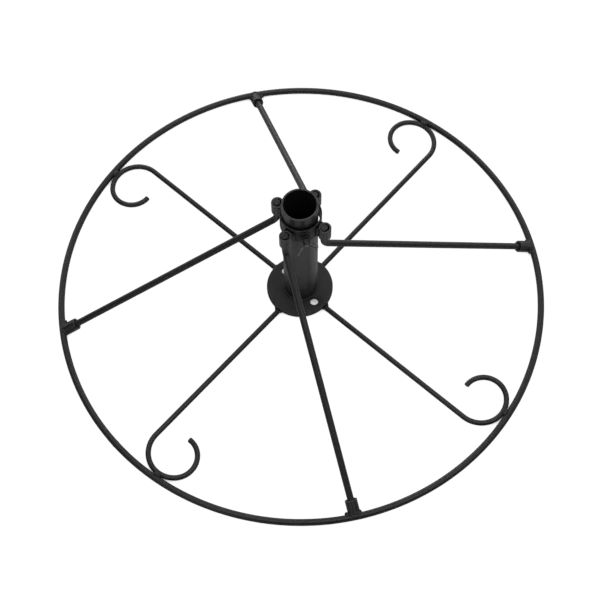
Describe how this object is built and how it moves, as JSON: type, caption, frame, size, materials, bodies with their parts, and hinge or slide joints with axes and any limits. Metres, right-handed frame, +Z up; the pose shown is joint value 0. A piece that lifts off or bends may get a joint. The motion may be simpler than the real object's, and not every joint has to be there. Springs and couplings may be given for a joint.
{
  "type": "umbrella stand",
  "caption": "Round ground stand for a garden parasol: floor ring, scrolled rods, flanged post, sloping braces and a collar locked by a wing screw.",
  "frame": {"origin": "on the floor, under the middle of the post", "axes": "+Z up along the post, +X through the first brace socket, -Y through the wing screw"},
  "size_m": [0.6079, 0.608, 0.211],
  "materials": {
    "powder_coat": "satin black powder coat",
    "weld_bead": "coated weld bead",
    "screw_coat": "coated cast wing screw"
  },
  "bodies": {
    "stand": {"ground_ring": "powder_coat", "scroll_rod_1": "powder_coat", "scroll_rod_2": "powder_coat", "scroll_rod_3": "powder_coat", "scroll_rod_4": "powder_coat", "base_plate": "powder_coat", "post_tube": "powder_coat", "post_weld": "weld_bead", "plate_welds": "weld_bead", "curl_welds": "weld_bead", "socket_1": "powder_coat", "socket_2": "powder_coat", "socket_3": "powder_coat", "socket_4": "powder_coat", "socket_welds": "weld_bead", "brace_1": "powder_coat", "brace_2": "powder_coat", "brace_3": "powder_coat", "brace_4": "powder_coat"},
    "collar": {"collar_ring": "powder_coat", "lug_1": "powder_coat", "lug_2": "powder_coat", "lug_3": "powder_coat", "lug_4": "powder_coat", "lug_welds": "weld_bead", "clamp_nut": "powder_coat", "nut_weld": "weld_bead"},
    "screw": {"clamp_screw": "screw_coat"},
    "wing": {"wing_head": "screw_coat"}
  },
  "joints": [
    {"name": "collar_lift", "type": "slide", "parent": "stand", "child": "collar", "axis": [0, 0, 1], "range_m": [0, 0.06]},
    {"name": "screw_feed", "type": "slide", "parent": "collar", "child": "screw", "axis": [0, -1, 0], "range_m": [0, 0.00525]},
    {"name": "screw_turn", "type": "hinge", "parent": "screw", "child": "wing", "pos_m": [0.0008, -0.03125, 0.1815], "axis": [0, -1, 0], "range_deg": [0, 1890]}
  ],
  "couplings": [
    {"joint": "screw_feed", "follows": "screw_turn", "m_per_rad": 0.00015915}
  ]
}
